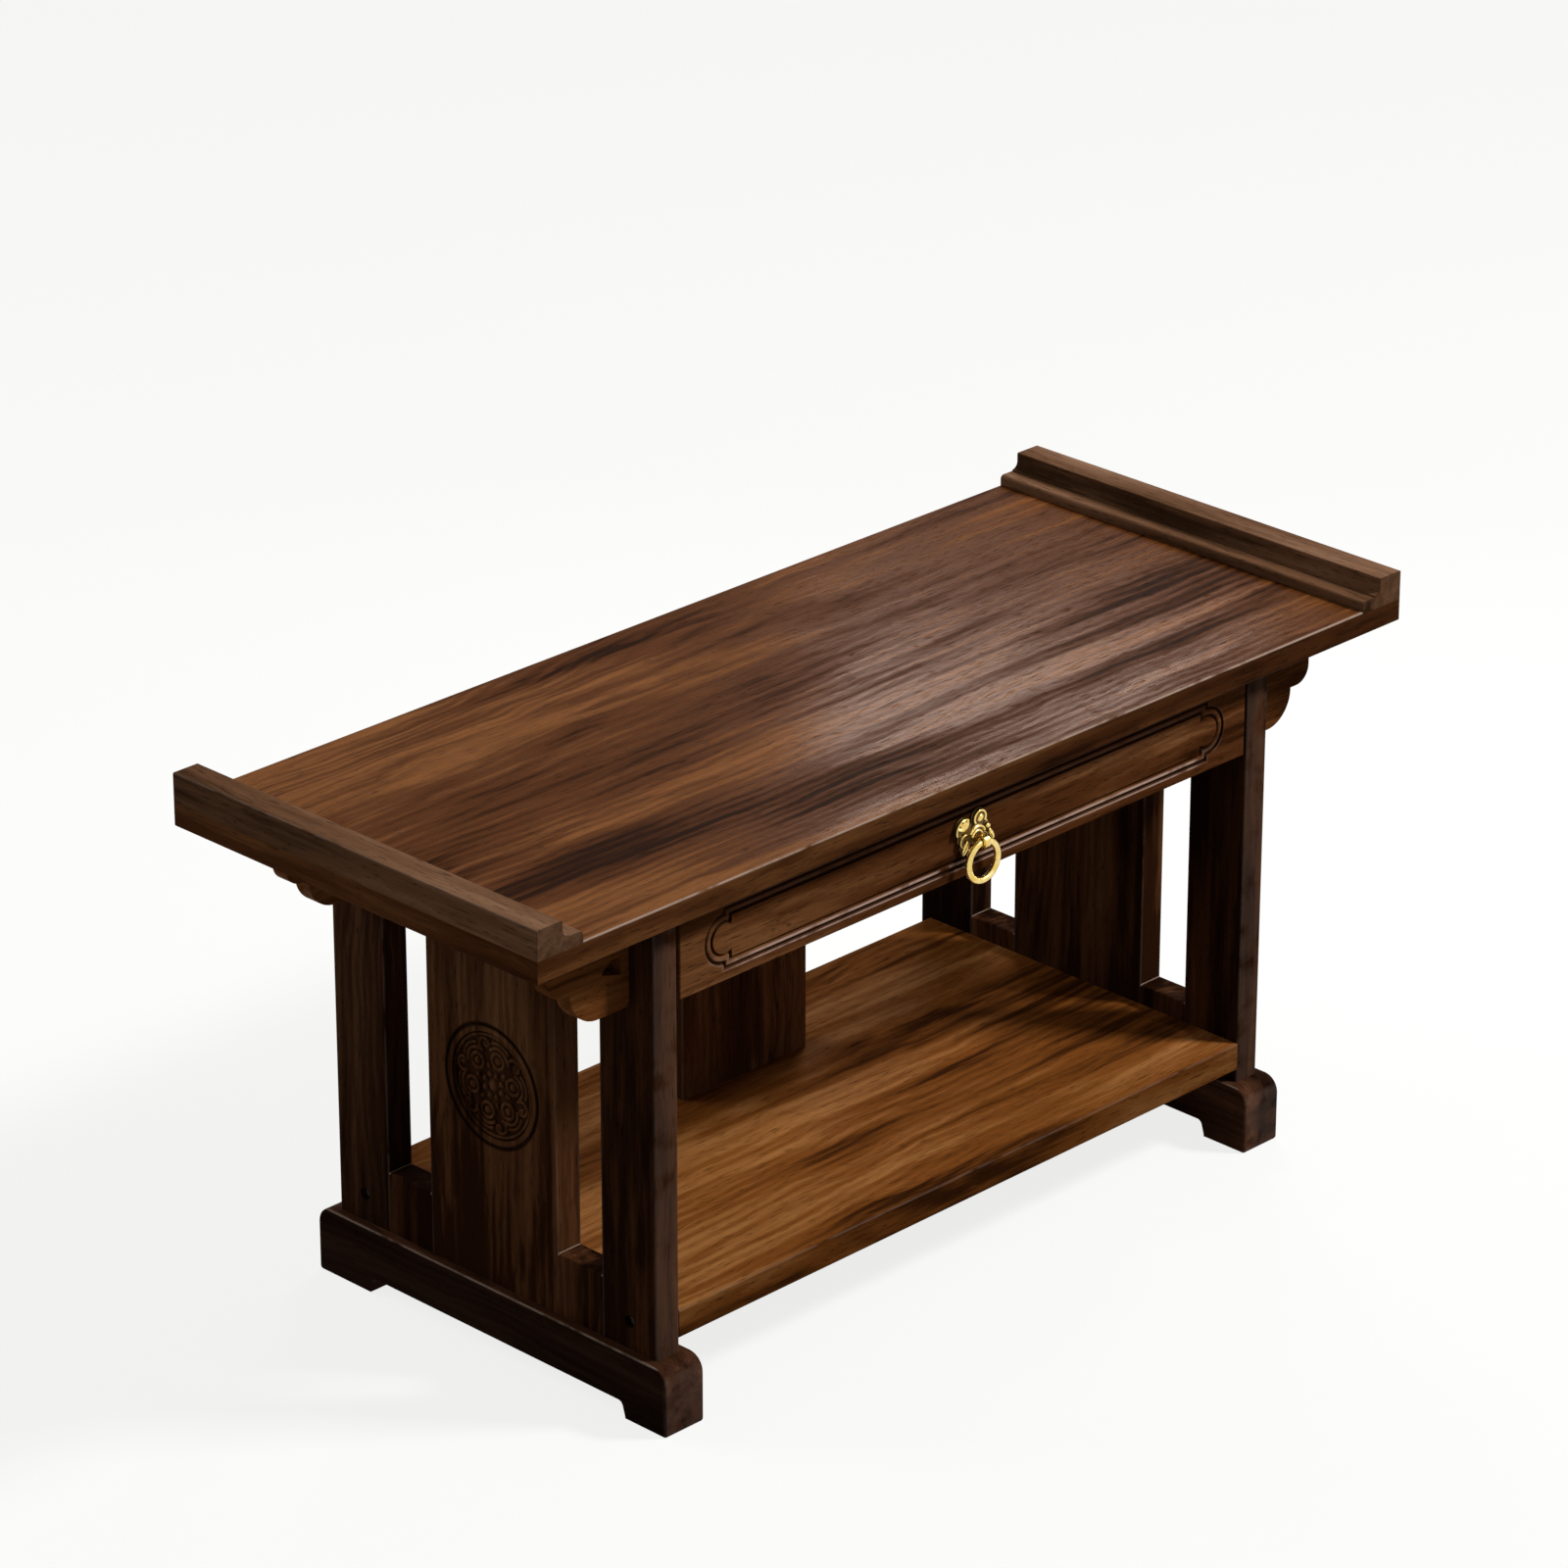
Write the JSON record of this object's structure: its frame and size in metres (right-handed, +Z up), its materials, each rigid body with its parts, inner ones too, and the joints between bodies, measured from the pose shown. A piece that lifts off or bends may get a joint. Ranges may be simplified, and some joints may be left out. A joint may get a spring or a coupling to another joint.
{
  "type": "altar table",
  "caption": "Low altar table with a drawer, a lower shelf, slotted sides on sled feet and a ring pull.",
  "frame": {"origin": "on the floor under the middle of the table", "axes": "+X along the table to the right seen from the front, -Y is the drawer side, +Z up"},
  "size_m": [0.8, 0.332, 0.3907],
  "materials": {
    "top_wood": "dark red-brown stain, satin",
    "side_wood": "dark red-brown stain, satin",
    "foot_wood": "very dark stain, satin",
    "inner_wood": "plain, unstained",
    "pull_brass": "polished, worn",
    "screw_steel": "dull"
  },
  "bodies": {
    "table": {"apron_dowels": "inner_wood", "back_apron": "top_wood", "back_board": "side_wood", "back_board_dowels": "inner_wood", "back_board_screws": "screw_steel", "bracket_front_left": "top_wood", "bracket_front_right": "top_wood", "bracket_rear_left": "top_wood", "bracket_rear_right": "top_wood", "centre_board_left": "side_wood", "centre_board_right": "side_wood", "cleat_screws": "screw_steel", "drawer_runner_left": "inner_wood", "drawer_runner_right": "inner_wood", "end_moulding_left": "top_wood", "end_moulding_right": "top_wood", "foot_left": "foot_wood", "foot_right": "foot_wood", "foot_screws": "screw_steel", "front_post_left": "side_wood", "front_post_right": "side_wood", "rear_post_left": "side_wood", "rear_post_right": "side_wood", "runner_screws": "screw_steel", "shelf": "top_wood", "shelf_screws": "screw_steel", "slot_header_front_left": "side_wood", "slot_header_front_right": "side_wood", "slot_header_rear_left": "side_wood", "slot_header_rear_right": "side_wood", "slot_sill_front_left": "side_wood", "slot_sill_front_right": "side_wood", "slot_sill_rear_left": "side_wood", "slot_sill_rear_right": "side_wood", "top_board": "top_wood", "top_cleat_left": "inner_wood", "top_cleat_right": "inner_wood"},
    "drawer": {"drawer_front": "top_wood", "drawer_side_left": "inner_wood", "drawer_side_right": "inner_wood", "drawer_back": "inner_wood", "drawer_bottom": "inner_wood", "pull_plate": "pull_brass", "pull_eye": "pull_brass", "pull_pins": "pull_brass"},
    "ring": {"pull_ring": "pull_brass"}
  },
  "joints": [
    {"name": "drawer_slide", "type": "slide", "parent": "table", "child": "drawer", "axis": [0, -1, 0], "range_m": [0, 0.15]},
    {"name": "ring_swing", "type": "hinge", "parent": "drawer", "child": "ring", "pos_m": [0, -0.1571, 0.3172], "axis": [-1, 0, 0], "range_deg": [-8, 150]}
  ]
}
